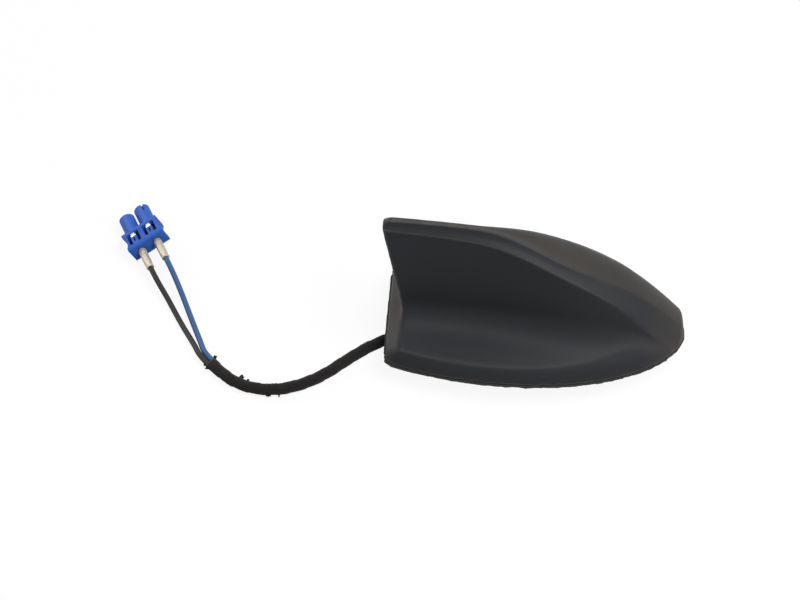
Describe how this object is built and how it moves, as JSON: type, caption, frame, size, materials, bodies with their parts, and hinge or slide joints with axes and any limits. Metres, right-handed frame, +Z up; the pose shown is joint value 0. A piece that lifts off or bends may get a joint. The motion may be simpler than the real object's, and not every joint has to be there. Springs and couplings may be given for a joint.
{
  "type": "car roof antenna",
  "caption": "Shark-fin roof antenna for a car: a moulded fin cover on a sealed die-cast base, with a short taped pigtail that splits into black and blue coax leads in a blue connector.",
  "frame": {"origin": "Where the fixing-bolt axis meets the roof plane, on the underside of the roof seal.", "axes": "+X towards the nose (forwards on the car), +Z up from the roof, +Y to the car's left."},
  "size_m": [0.2999, 0.1153, 0.0833],
  "materials": {
    "cover_plastic": "moulded weatherproof plastic, fine satin grain",
    "seal_rubber": "soft black sealing rubber",
    "base_casting": "die-cast, slightly rough",
    "screw_steel": "zinc-plated steel",
    "board_laminate": "green glass-fibre laminate",
    "patch_ceramic": "fired ceramic",
    "silver_film": "fired silver film",
    "tinned_sheet": "tin-plated sheet",
    "tab_metal": "stamped brass",
    "cloth_tape": "black flocked cloth tape",
    "black_jacket": "extruded jacket, satin",
    "blue_jacket": "extruded jacket, satin",
    "blue_plastic": "moulded, satin",
    "nickel_plate": "nickel-plated brass",
    "gold_plate": "gold-plated",
    "white_insulator": "white fluoropolymer"
  },
  "bodies": {
    "root": {"fin_cover": "cover_plastic", "base_plate": "base_casting", "roof_seal": "seal_rubber", "cover_gasket": "seal_rubber", "cover_screws": "screw_steel", "board_screws": "screw_steel", "main_circuit_board": "board_laminate", "phone_antenna_board": "board_laminate", "fin_board_clips": "tab_metal", "satellite_patch": "patch_ceramic", "patch_electrode": "silver_film", "patch_feed_pin": "tab_metal", "amplifier_shield_can": "tinned_sheet", "cable_grommet": "seal_rubber", "inner_black_lead": "black_jacket", "inner_blue_lead": "blue_jacket", "harness_wrap": "cloth_tape", "black_lead": "black_jacket", "blue_lead": "blue_jacket", "connector_housing": "blue_plastic", "black_outer_contact": "nickel_plate", "black_insulator": "white_insulator", "black_centre_contact": "gold_plate", "black_crimp_ferrule": "nickel_plate", "blue_outer_contact": "nickel_plate", "blue_insulator": "white_insulator", "blue_centre_contact": "gold_plate", "blue_crimp_ferrule": "nickel_plate"}
  },
  "joints": []
}
